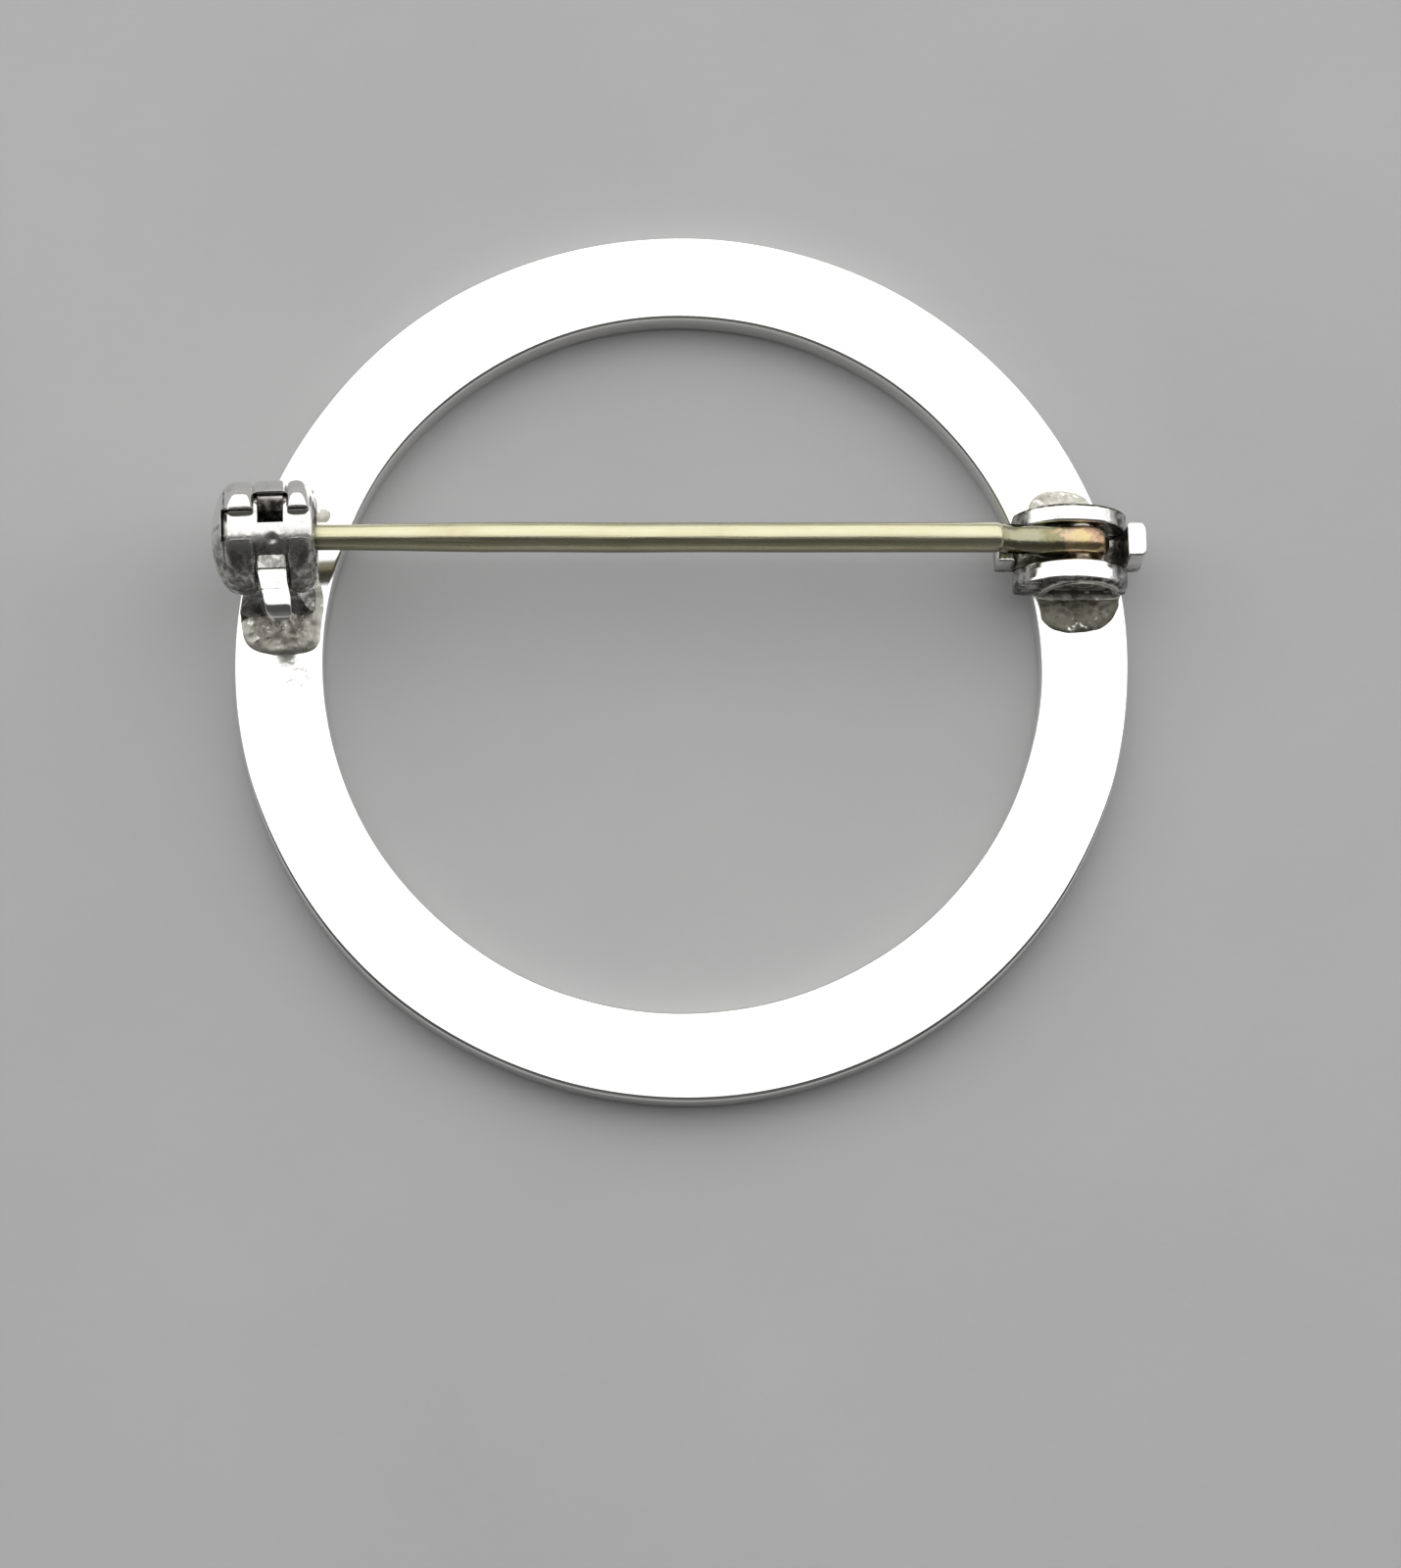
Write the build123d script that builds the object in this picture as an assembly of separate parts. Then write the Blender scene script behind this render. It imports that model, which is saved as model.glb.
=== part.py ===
from build123d import *
import math
import os

# Circle pin brooch, lying face down: a flat ring with a pin stem across its back.
# Millimetres. +Z is up, z = 0 is the front face that it rests on, and the origin is
# the ring's centre on that face. The catch is at -X and the hinge at +X.

# Ring
RING_DIAMETER = 30.0
RING_BAND = 3.0
RING_THICKNESS = 1.2
RING_EDGE = 0.12

# Line of the pin over the ring's back: its Y at the middle, and its small slant
PIN_LINE_Y = 3.6
PIN_LINE_SKEW = 0.5

# Pin stem: round wire, thinner where it enters the catch, thicker at its root
STEM_DIAMETER = 1.0
TIP_DIAMETER = 0.85
TAPER_LENGTH = 4.5
TAPER_TO_CATCH = 1.0
POINT_LENGTH = 1.6
POINT_END_DIAMETER = 0.16
ROOT_DIAMETER = 1.1
ROOT_LENGTH = 0.9

# Catch: a short barrel open on top, in which a slotted sleeve turns
CATCH_OUTWARD = 0.91
CATCH_SKEW = 2.5
CATCH_LENGTH = 3.5
CATCH_DIAMETER = 3.75
CATCH_STANDOFF = 0.325
CATCH_WALL = 0.32
CATCH_END_WALL = 0.4
CATCH_END_ROUND = 0.7
CATCH_MOUTH_ROUND = 0.24
THROAT_GAP = 0.125
GROOVE_START = 1.47
GROOVE_WIDTH = 1.09
GROOVE_END_ANGLE = 168.0
FOOT_WIDTH = 4.5
FOOT_WAIST = 3.1
FOOT_FLARE_HEIGHT = 0.45
FOOT_LENGTH = 2.9

# Sleeve and its lever
SLEEVE_GAP = 0.05
SLEEVE_WALL = 0.55
LEVER_TURN = 88.0
LEVER_THICKNESS = 0.5
LEVER_PIN_GAP = 0.07
LEVER_OVERHANG = 1.175
LEVER_TAPER_INSET = 0.425
LEVER_TIP_WIDTH = 0.77
LEVER_TIP_SPLAY = 0.09
LEVER_SIDE_GAP = 0.045
LEVER_END_LAND = 0.08
WINDOW_ANGLES = (42.0, 87.0)
WINDOW_SIDE = 0.125

# Hinge: two round-topped ears on a strip whose ends are turned up
RIVET_OUTWARD = 0.33
RIVET_DIAMETER = 0.7
RIVET_HEAD_DIAMETER = 0.94
RIVET_HEAD_HEIGHT = 0.16
RIVET_SEAT_GAP = 0.02
EAR_LENGTH = 3.8
EAR_OFFSET = -0.35
EAR_RISE = 0.95
EAR_SHOULDER = 0.75
EAR_THICKNESS = 0.7
EAR_GAP = 1.3
EAR_POCKET_INSET = 0.3
EAR_POCKET_DEPTH = 0.14
STRIP_WIDTH = 1.18
STRIP_THICKNESS = 0.25
FRONT_LUG_LENGTH = 0.62
FRONT_LUG_GAP = 0.28
BACK_LUG_LENGTH = 0.66
BACK_LUG_HEIGHT = 2.05
BACK_LUG_BEND = 0.45
LUG_CORNER = 0.2

# Head of the pin, between the ears
HEAD_DIAMETER = 1.8
HEAD_SIDE_GAP = 0.2
HEAD_FLOOR_GAP = 0.05
HEAD_BORE_GAP = 0.05
HEAD_CROWN = 1.02
HEAD_EDGE = 0.25
SHOULDER_LENGTH = 0.5
SHOULDER_RISE = 0.08
NECK_LENGTH = 2.7
NECK_LEVEL = 0.45
NECK_INSET = 0.05

# Solder: low mounds on the ring's back as (x, y) from the catch or the rivet,
# then half length, half width and height
CATCH_SOLDER = (
    ((0.42, -1.9), (1.42, 1.6), 0.5),
    ((1.75, 1.3), (0.45, 0.4), 0.12),
)
HINGE_SOLDER = (
    ((-0.04, -1.4), (1.42, 1.3), 0.18),
    ((-0.57, 1.35), (1.1, 0.97), 0.2),
)

RING_RADIUS = RING_DIAMETER / 2
OPENING_RADIUS = RING_RADIUS - RING_BAND
BAND_MIDDLE = RING_RADIUS - RING_BAND / 2
PIN_HEIGHT = CATCH_DIAMETER / 2 + CATCH_STANDOFF
RIVET_HEIGHT = HEAD_DIAMETER / 2 + STRIP_THICKNESS + HEAD_FLOOR_GAP
EAR_HEIGHT = RIVET_HEIGHT + EAR_RISE
FRONT_LUG_HEIGHT = PIN_HEIGHT - ROOT_DIAMETER / 2 - FRONT_LUG_GAP
HEAD_WIDTH = EAR_GAP - 2 * HEAD_SIDE_GAP
THROAT_WIDTH = TIP_DIAMETER + 2 * THROAT_GAP
LEVER_LIFT = THROAT_WIDTH / 2 + LEVER_PIN_GAP
LEVER_REACH = CATCH_DIAMETER / 2 + LEVER_OVERHANG
LEVER_TAPER_START = CATCH_DIAMETER / 2 - LEVER_TAPER_INSET
WINDOW_WIDTH = GROOVE_WIDTH - 2 * WINDOW_SIDE
PIN_AXIS_Z = RING_THICKNESS + PIN_HEIGHT
RIVET_Z = RING_THICKNESS + RIVET_HEIGHT
CATCH_BORE_RADIUS = CATCH_DIAMETER / 2 - CATCH_WALL
SLEEVE_RADIUS = CATCH_BORE_RADIUS - SLEEVE_GAP
SLEEVE_BORE_RADIUS = SLEEVE_RADIUS - SLEEVE_WALL
CATCH_LEFT = -CATCH_LENGTH / 2
CATCH_RIGHT = CATCH_LENGTH / 2
GROOVE_LEFT = CATCH_LEFT + GROOVE_START
GROOVE_RIGHT = GROOVE_LEFT + GROOVE_WIDTH
GROOVE_BACK = LEVER_LIFT + LEVER_THICKNESS + LEVER_SIDE_GAP / 2
REACH = 3 * CATCH_DIAMETER


def band_middle_x(y):
    """X of the middle of the ring's band at a given y, on the +X side."""
    return math.sqrt(BAND_MIDDLE**2 - y**2)


def pin_line_y(x):
    """Y of the pin's line over the ring at a given x."""
    return PIN_LINE_Y + x * math.tan(math.radians(PIN_LINE_SKEW))


CATCH_X = -band_middle_x(PIN_LINE_Y) - CATCH_OUTWARD
RIVET_X = band_middle_x(PIN_LINE_Y) + RIVET_OUTWARD


def catch_place():
    """The catch's own frame: origin on its axis at mid length, X along the axis."""
    return Location((CATCH_X, pin_line_y(CATCH_X), PIN_AXIS_Z), (0, 0, CATCH_SKEW))


def hinge_place():
    """The hinge's own frame: origin on the rivet's axis, X along the pin's line."""
    return Location((RIVET_X, pin_line_y(RIVET_X), RIVET_Z), (0, 0, PIN_LINE_SKEW))


def rod(radius, start, end):
    """A round bar along X between two x values."""
    return extrude(Plane.YZ.offset(start) * Circle(radius), amount=end - start)


def cross_rod(radius, half_length):
    """A round bar along Y, centred on the origin."""
    return extrude(Plane.XZ * Circle(radius), amount=half_length, both=True)


def block(x_span, y_span, z_span):
    """A box between two values on each axis."""
    size = [span[1] - span[0] for span in (x_span, y_span, z_span)]
    centre = [(span[1] + span[0]) / 2 for span in (x_span, y_span, z_span)]
    return Pos(*centre) * Box(*size)


def wedge(angles, x_span):
    """A pie slice about X between two angles, in degrees from +Y towards +Z."""
    start, end = angles
    steps = max(2, math.ceil((end - start) / 45))
    rim = []
    for i in range(steps + 1):
        angle = math.radians(start + (end - start) * i / steps)
        rim.append((REACH * math.cos(angle), REACH * math.sin(angle)))
    slice_face = Plane.YZ.offset(x_span[0]) * Polygon((0, 0), *rim, align=None)
    return extrude(slice_face, amount=x_span[1] - x_span[0])


def make_ring():
    """The flat band, with a small round on each of its four edges."""
    band = Pos(0, 0, RING_THICKNESS / 2) * (
        Cylinder(RING_RADIUS, RING_THICKNESS) - Cylinder(OPENING_RADIUS, RING_THICKNESS)
    )
    return fillet(band.edges().filter_by(GeomType.CIRCLE), RING_EDGE)


def make_footprint():
    """The space straight above the ring's flat back, where soldered feet may stand."""
    inner = OPENING_RADIUS + RING_EDGE
    outer = RING_RADIUS - RING_EDGE
    base = Plane.XY.offset(RING_THICKNESS / 2)
    return extrude(base * (Circle(outer) - Circle(inner)), amount=REACH)


def make_solder_mound(place, centre, half_size, height):
    """Half an ellipsoid of solder on the ring's back, beside a catch or hinge."""
    spot = (place * Pos(*centre, 0)).position
    mound = scale(Sphere(1.0), by=(half_size[0], half_size[1], height))
    return Pos(spot.X, spot.Y, RING_THICKNESS) * mound


def make_catch_foot():
    """The catch's foot: a waisted pad from the ring's back up into the barrel."""
    base = -PIN_HEIGHT
    flare = base + FOOT_FLARE_HEIGHT
    half_foot = FOOT_WIDTH / 2
    half_waist = FOOT_WAIST / 2
    outline = [
        (-half_foot, base - RING_THICKNESS / 4),
        (half_foot, base - RING_THICKNESS / 4),
        (half_foot, base),
        (half_waist, flare),
        (half_waist, -CATCH_BORE_RADIUS / 2),
        (-half_waist, -CATCH_BORE_RADIUS / 2),
        (-half_waist, flare),
        (-half_foot, base),
    ]
    start = CATCH_RIGHT - FOOT_LENGTH
    face = Plane.YZ.offset(start) * Polygon(*outline, align=None)
    return extrude(face, amount=FOOT_LENGTH - CATCH_WALL / 2)


def make_catch_barrel():
    """The outside of the barrel, rounded at its closed end and a little at its mouth."""
    barrel = rod(CATCH_DIAMETER / 2, CATCH_LEFT, CATCH_RIGHT)
    closed_end = barrel.edges().group_by(Axis.X)[0]
    barrel = fillet(closed_end, CATCH_END_ROUND)
    mouth = barrel.edges().group_by(Axis.X)[-1]
    return fillet(mouth, CATCH_MOUTH_ROUND)


def make_catch_hollow():
    """What is cut from the barrel: its bore, the throat for the pin and the lever's groove."""
    end_face = CATCH_LEFT + CATCH_END_WALL
    bore = rod(CATCH_BORE_RADIUS, end_face, CATCH_RIGHT + REACH)
    throat = block((end_face, REACH), (-THROAT_WIDTH / 2, THROAT_WIDTH / 2), (0, REACH))
    groove = wedge((90.0, GROOVE_END_ANGLE), (GROOVE_LEFT, GROOVE_RIGHT))
    groove += block((GROOVE_LEFT, GROOVE_RIGHT), (0, GROOVE_BACK), (0, REACH))
    return bore + throat + groove


def ear_outline(inset):
    """The ears' round-topped outline from the rivet's axis, drawn in by an inset."""
    left = EAR_OFFSET - EAR_LENGTH / 2 + inset
    right = EAR_OFFSET + EAR_LENGTH / 2 - inset
    bottom = -RIVET_HEIGHT + inset / 2
    shoulder = -RIVET_HEIGHT + EAR_SHOULDER
    top = -RIVET_HEIGHT + EAR_HEIGHT - inset
    arch = ThreePointArc((left, shoulder), (EAR_OFFSET, top), (right, shoulder))
    foot = Polyline((right, shoulder), (right, bottom), (left, bottom), (left, shoulder))
    return make_face(arch + foot)


def across(outline, y_span):
    """An outline in X and Z, made solid between two y values."""
    face = Plane.XZ.offset(-y_span[1]) * outline
    return extrude(face, amount=y_span[1] - y_span[0])


def make_ears():
    """Both ears, each with a shallow pocket in its outer face."""
    inner = EAR_GAP / 2
    outer = inner + EAR_THICKNESS
    floor = outer - EAR_POCKET_DEPTH
    ears = across(ear_outline(0), (-outer, outer)) - across(ear_outline(-REACH / 4), (-inner, inner))
    pocket = ear_outline(EAR_POCKET_INSET)
    return ears - across(pocket, (floor, outer)) - across(pocket, (-outer, -floor))


def make_strip():
    """The strip between and beyond the ears, with a lug turned up at each end."""
    base = -RIVET_HEIGHT
    left = EAR_OFFSET - EAR_LENGTH / 2
    right = EAR_OFFSET + EAR_LENGTH / 2
    half = STRIP_WIDTH / 2
    front = left - FRONT_LUG_LENGTH
    back = right + BACK_LUG_LENGTH - LUG_CORNER / 2
    wall = right - LUG_CORNER / 2
    top = base + STRIP_THICKNESS
    floor = block((left, right), (-EAR_GAP / 2, EAR_GAP / 2), (base, top))
    strip = block((front, back), (-half, half), (base, top))
    front_lug = block((front, left), (-half, half), (base, base + FRONT_LUG_HEIGHT))
    back_lug = block((wall, back), (-half, half), (base, base + BACK_LUG_HEIGHT))
    front_lug = fillet(front_lug.edges().group_by(Axis.Z)[-1], LUG_CORNER / 2)
    back_lug = fillet(back_lug.edges().filter_by(Axis.Z).group_by(Axis.X)[-1], LUG_CORNER)
    back_lug = fillet(back_lug.edges().group_by(Axis.Z)[-1], LUG_CORNER / 2)
    bend = block((wall - BACK_LUG_BEND, wall + LUG_CORNER / 2), (-half, half), (base, top + BACK_LUG_BEND))
    bend -= Pos(wall - BACK_LUG_BEND, 0, top + BACK_LUG_BEND) * cross_rod(BACK_LUG_BEND, EAR_GAP)
    return floor + strip + front_lug + back_lug + bend


def make_ring_frame():
    """Everything that is soldered together: ring, catch barrel, hinge and solder."""
    frame = make_ring()
    footprint = make_footprint()
    for mound in CATCH_SOLDER:
        frame += make_solder_mound(catch_place(), *mound) & footprint
    for mound in HINGE_SOLDER:
        frame += make_solder_mound(hinge_place(), *mound) & footprint
    frame += (catch_place() * make_catch_foot()) & footprint
    frame += catch_place() * make_catch_barrel()
    frame -= catch_place() * make_catch_hollow()
    frame += hinge_place() * make_ears()
    frame += hinge_place() * make_strip()
    frame -= hinge_place() * cross_rod(RIVET_DIAMETER / 2 + RIVET_SEAT_GAP, EAR_GAP + EAR_THICKNESS)
    return frame


def make_catch_lever():
    """The sleeve that closes the throat, with its lever, shown shut over the pin."""
    left = CATCH_LEFT + CATCH_END_WALL + SLEEVE_GAP
    right = CATCH_RIGHT - SLEEVE_GAP
    sleeve = rod(SLEEVE_RADIUS, left, right)
    lever_left = GROOVE_LEFT + LEVER_SIDE_GAP
    lever_right = GROOVE_RIGHT - LEVER_SIDE_GAP
    tip_right = lever_right + LEVER_TIP_SPLAY
    outline = Polygon(
        (lever_left, 0),
        (lever_right, 0),
        (lever_right, -LEVER_TAPER_START),
        (tip_right, -LEVER_REACH),
        (tip_right - LEVER_TIP_WIDTH, -LEVER_REACH),
        (lever_left, -LEVER_TAPER_START),
        align=None,
    )
    lever = extrude(Plane.XY.offset(LEVER_LIFT) * outline, amount=LEVER_THICKNESS)
    tip_edge = lever.edges().filter_by(Axis.X).group_by(Axis.Y)[0].sort_by(Axis.Z)[-1]
    lever = fillet(tip_edge, LEVER_THICKNESS - LEVER_END_LAND)
    body = sleeve + lever - rod(SLEEVE_BORE_RADIUS, left - REACH, right + REACH)
    half_slot = THROAT_WIDTH / 2
    slot = block((-REACH, REACH), (-half_slot, half_slot), (0, REACH))
    middle = (GROOVE_LEFT + GROOVE_RIGHT) / 2
    window = wedge(WINDOW_ANGLES, (middle - WINDOW_WIDTH / 2, middle + WINDOW_WIDTH / 2))
    body = body - Rot(LEVER_TURN, 0, 0) * slot - window
    return catch_place() * body


def make_hinge_rivet():
    """The rivet through the ears and the pin's head, with a flat head on each end."""
    seat = EAR_GAP / 2 + EAR_THICKNESS - EAR_POCKET_DEPTH + RIVET_SEAT_GAP
    shank = cross_rod(RIVET_DIAMETER / 2, seat + RIVET_HEAD_HEIGHT)
    heads = cross_rod(RIVET_HEAD_DIAMETER / 2, seat + RIVET_HEAD_HEIGHT)
    heads -= cross_rod(RIVET_HEAD_DIAMETER, seat)
    return hinge_place() * (shank + heads)


def touch_point(radius, point, side):
    """Where a line from an outside point touches a circle round the origin."""
    x, z = point
    turn = math.atan2(z, x) + side * math.acos(radius / math.hypot(x, z))
    return (radius * math.cos(turn), radius * math.sin(turn))


def make_pin_head():
    """The pin's head: a disc round the rivet, a crowned top and a neck to the stem."""
    rise = PIN_AXIS_Z - RIVET_Z
    radius = HEAD_DIAMETER / 2
    half_neck = ROOT_DIAMETER / 2 - NECK_INSET
    neck_top = (-NECK_LENGTH, rise + half_neck)
    neck_start = (-NECK_LENGTH, rise - half_neck)
    neck_bottom = (-NECK_LENGTH + NECK_LEVEL, rise - half_neck)
    crown_start = (-NECK_LENGTH + SHOULDER_LENGTH, HEAD_CROWN + SHOULDER_RISE)
    crown_end = (-radius / 3, HEAD_CROWN)
    disc_start = touch_point(radius, crown_end, -1)
    disc_end = touch_point(radius, neck_bottom, 1)
    top = Polyline(neck_top, crown_start, crown_end, disc_start)
    disc = ThreePointArc(disc_start, (radius, 0), disc_end)
    under = Polyline(disc_end, neck_bottom, neck_start, neck_top)
    solid = across(make_face(top + disc + under), (-HEAD_WIDTH / 2, HEAD_WIDTH / 2))
    rims = solid.faces().filter_by(Axis.Y).edges()
    return chamfer(rims, HEAD_EDGE) - cross_rod(RIVET_DIAMETER / 2 + HEAD_BORE_GAP, HEAD_WIDTH)


def make_pin_stem():
    """The straight wire with its root, taper and point, turned about X."""
    root = -NECK_LENGTH + SHOULDER_LENGTH / 4
    catch = CATCH_X - RIVET_X
    tip = catch + CATCH_LEFT + CATCH_END_WALL + SLEEVE_GAP
    taper_end = catch + CATCH_RIGHT + TAPER_TO_CATCH
    half_profile = Polygon(
        (root, 0),
        (root, ROOT_DIAMETER / 2),
        (-NECK_LENGTH, ROOT_DIAMETER / 2),
        (-NECK_LENGTH - ROOT_LENGTH, STEM_DIAMETER / 2),
        (taper_end + TAPER_LENGTH, STEM_DIAMETER / 2),
        (taper_end, TIP_DIAMETER / 2),
        (tip + POINT_LENGTH, TIP_DIAMETER / 2),
        (tip, POINT_END_DIAMETER / 2),
        (tip, 0),
        align=None,
    )
    return Pos(0, 0, PIN_AXIS_Z - RIVET_Z) * revolve(Plane.XZ * half_profile, Axis.X)


def make_pin():
    """The pin: head, neck, stem and point in one piece."""
    return hinge_place() * (make_pin_head() + make_pin_stem())


NODES = {
    "ring_frame": make_ring_frame,
    "catch_lever": make_catch_lever,
    "hinge_rivet": make_hinge_rivet,
    "pin_stem": make_pin,
}

os.makedirs("parts", exist_ok=True)
for node, make in NODES.items():
    export_step(make(), f"parts/{node}.step")
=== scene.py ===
import math

import bmesh
import bpy
import numpy as np
from mathutils import Matrix, Vector


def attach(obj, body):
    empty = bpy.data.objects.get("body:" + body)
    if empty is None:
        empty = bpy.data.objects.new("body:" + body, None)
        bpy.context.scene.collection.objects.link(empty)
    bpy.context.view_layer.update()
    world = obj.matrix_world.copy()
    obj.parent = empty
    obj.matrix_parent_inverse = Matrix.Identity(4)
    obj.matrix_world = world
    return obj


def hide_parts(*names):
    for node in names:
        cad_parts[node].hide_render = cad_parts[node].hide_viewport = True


# A plain silver circle pin, face down, with its pin shut in a rotating safety catch.
# Lengths are in metres; MM turns a length in millimetres into metres.
MM = 0.001
MERGED_WITHIN = 0.0008 * MM
LEAST_CORNER = 0.012 * MM

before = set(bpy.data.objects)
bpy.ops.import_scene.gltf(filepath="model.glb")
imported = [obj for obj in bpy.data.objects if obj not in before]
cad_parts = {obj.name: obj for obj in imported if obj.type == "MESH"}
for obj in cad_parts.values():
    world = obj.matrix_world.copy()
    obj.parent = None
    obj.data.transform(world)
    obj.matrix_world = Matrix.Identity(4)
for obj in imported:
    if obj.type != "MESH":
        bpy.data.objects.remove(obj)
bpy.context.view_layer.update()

# Ring
RING_OUTER = 15.0 * MM
RING_INNER = 12.0 * MM
BACK = 1.2 * MM
RING_EDGE = 0.15 * MM

# Catch, in its own frame: origin on the barrel's axis, X along it
CATCH_SPOT = (-13.92115 * MM, 3.47851 * MM, 3.4 * MM)
CATCH_TURN = 2.5
BARREL_INNER = 1.555 * MM
END_WALL_FACE = -1.35 * MM
CAP_SEAM = -1.26 * MM
THROAT_HALF = 0.55 * MM
GROOVE_LEFT = -0.28 * MM
GROOVE_RIGHT = 0.81 * MM
GROOVE_BACK = 1.1425 * MM
GROOVE_END_ANGLE = 168.0

# Sleeve and lever, in the catch's frame
SLEEVE_OUTER = 1.505 * MM
SLEEVE_INNER = 0.955 * MM
SLEEVE_LEFT = -1.3 * MM
SLEEVE_RIGHT = 1.7 * MM
SLOT_ANGLE = 178.0
WINDOW_ANGLES = (42.0, 87.0)
WINDOW_LEFT = -0.155 * MM
WINDOW_RIGHT = 0.685 * MM
LEVER_LOW = 0.62 * MM
LEVER_HIGH = 1.12 * MM
LEVER_ROOT = -0.87 * MM
LEVER_REACH = -3.04 * MM

# Hinge, in its own frame: origin on the rivet's axis, X along the pin
HINGE_SPOT = (13.34115 * MM, 3.71643 * MM, 2.4 * MM)
HINGE_TURN = 0.5
HINGE_BASE = -1.2 * MM
EAR_CENTRE = -0.35 * MM
EAR_HALF = 1.9 * MM
EAR_ARCH = 1.989 * MM
EAR_ARCH_Z = -1.039 * MM
EAR_BORE = 0.37 * MM
ARCH_MIDDLE = -0.04 * MM
STRIP_HALF = 0.59 * MM

# Pin, in the hinge's frame
PIN_RISE = 1.0 * MM
HEAD_HALF = 0.48 * MM

# Middles of single marks, in the part's frame
PITTED_PATCH = (-12.86 * MM, -0.72 * MM, 1.2 * MM)
WARM_TINT = (10.9 * MM, 5.4 * MM, 1.2 * MM)
# The middle of a painted dark spot of shade round the sleeve's dimple
DIMPLE_SHADE_MIDDLE = (-13.58 * MM, 2.96 * MM, 4.82 * MM)

# Colours, in linear shares of red, green and blue
CLEAR_SILVER = (0.95, 0.945, 0.935)
HAZED_SILVER = (0.9, 0.89, 0.865)
TINTED_SILVER = (0.86, 0.83, 0.58)
PITTED_SILVER = (0.56, 0.55, 0.53)
CLEAR_NICKEL = (0.87, 0.865, 0.85)
WORN_NICKEL = (0.78, 0.765, 0.72)
# The dark colour of random stains on the plating, and of the painted shade laid by the plated masks
STAIN_AND_PAINTED_SHADE = (0.08, 0.075, 0.06)
PALE_WIRE = (0.66, 0.64, 0.47)
OLIVE_WIRE = (0.6, 0.57, 0.38)
BROWN_WIRE = (0.5, 0.43, 0.3)
WIRE_PAINTED_SHADE = (0.1, 0.09, 0.06)
# The head's own olive tones along X, with a painted highlight over the rivet and painted shade at its round
# end
HEAD_TONES_AND_PAINTED_LIGHT = [
    (0.0, (0.36, 0.35, 0.24)),
    (0.3, (0.27, 0.26, 0.14)),
    (0.48, (0.58, 0.43, 0.31)),
    (0.66, (0.62, 0.51, 0.24)),
    (0.82, (0.52, 0.34, 0.23)),
    (1.0, (0.12, 0.11, 0.06)),
]
LIGHT_SOLDER_TONES = (0.24, 0.23, 0.19), (0.46, 0.45, 0.39), (0.7, 0.68, 0.62)
# Darker tones of the same solder: painted shade for the solder in front of the front hinge ear
PAINTED_SHADE_SOLDER_TONES = (0.09, 0.09, 0.07), (0.17, 0.165, 0.13), (0.26, 0.235, 0.2)
BARE_GRAIN = (0.86, 0.85, 0.82)
BOARD_SHADES = [(0.3, (0.43, 0.43, 0.435)), (0.7, (0.465, 0.465, 0.465))]
ROOM_SHADES = [
    (0.0, (0.16, 0.16, 0.16)),
    (0.14, (0.08, 0.08, 0.08)),
    (0.5, (0.075, 0.075, 0.075)),
    (0.88, (0.2, 0.2, 0.19)),
    (1.0, (0.36, 0.355, 0.34)),
]

# Camera in millimetres, and lamps: name, degrees above the floor, depth in metres, watts
CAMERA_SPOT = (-3.969, -42.839, 159.569)
CAMERA_AIM = (0.594, -4.291, 1.2)
CAMERA_LENS = 112.5
CAMERA_SENSOR = 36
LAMP_DISTANCE = 0.4
LAMP_WIDTH = 6.0
LAMPS = [("window_light", 67, 0.5, 13.0), ("low_window_light", 20, 0.2, 4.6)]


def place_of(spot, turn):
    """A frame with its origin at a spot and its X turned about Z by an angle in degrees."""
    return np.array(Matrix.Translation(spot) @ Matrix.Rotation(math.radians(turn), 4, "Z"))


CATCH = place_of(CATCH_SPOT, CATCH_TURN)
HINGE = place_of(HINGE_SPOT, HINGE_TURN)
WORLD = np.eye(4)


def placed(points, place):
    """Points of a piece's own frame, moved into the part's frame."""
    return points @ place[:3, :3].T + place[:3, 3]


def unit(vectors):
    """Vectors made one long."""
    return vectors / np.linalg.norm(vectors, axis=-1, keepdims=True)


def ripple(points, seed, wavelength, waves=28):
    """Smooth noise about 1 high: a sum of cosine waves of random direction and phase,
    each about one wavelength long, over the square root of half their number."""
    rng = np.random.default_rng(seed)
    runs = unit(rng.normal(size=(waves, 3))) * rng.uniform(0.7, 1.5, (waves, 1))
    phase = rng.uniform(0, 2 * math.pi, waves)
    return np.cos(points @ runs.T * (2 * math.pi / wavelength) + phase).sum(-1) / math.sqrt(waves / 2)


def smooth(value, start, end):
    """A smooth step: 0 at the start, 1 at the end."""
    t = np.clip((value - start) / (end - start), 0, 1)
    return t * t * (3 - 2 * t)


def make_piece(name, points, faces, place, look):
    """A mesh object from points and faces, with doubles merged and faces turned outwards.
    A look is its material, its body, the CAD node it stands for and its material slot, which is not used."""
    material, body, node, slot = look
    mesh = bpy.data.meshes.new(name)
    mesh.from_pydata(placed(points, place).tolist(), [], faces)
    shape = bmesh.new()
    shape.from_mesh(mesh)
    bmesh.ops.remove_doubles(shape, verts=shape.verts, dist=MERGED_WITHIN)
    loose = [vertex for vertex in shape.verts if not vertex.link_faces]
    bmesh.ops.delete(shape, geom=loose, context="VERTS")
    bmesh.ops.recalc_face_normals(shape, faces=shape.faces)
    shape.to_mesh(mesh)
    shape.free()
    mesh.shade_smooth()
    mesh.materials.append(material)
    piece = bpy.data.objects.new(name, mesh)
    bpy.context.collection.objects.link(piece)
    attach(piece, body)
    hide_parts(node)
    return piece


def bevelled(piece, width, angle=40.0, segments=2):
    """Rounds a piece's sharp edges and keeps its flats flat."""
    rounding = piece.modifiers.new("rounding", "BEVEL")
    rounding.width = width
    rounding.segments = segments
    rounding.limit_method = "ANGLE"
    rounding.angle_limit = math.radians(angle)
    rounding.use_clamp_overlap = False
    rounding.harden_normals = True
    return piece


def creased(piece, angle):
    """Leaves edges sharper than an angle unsmoothed."""
    piece.data.set_sharp_from_angle(angle=math.radians(angle))
    return piece


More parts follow.
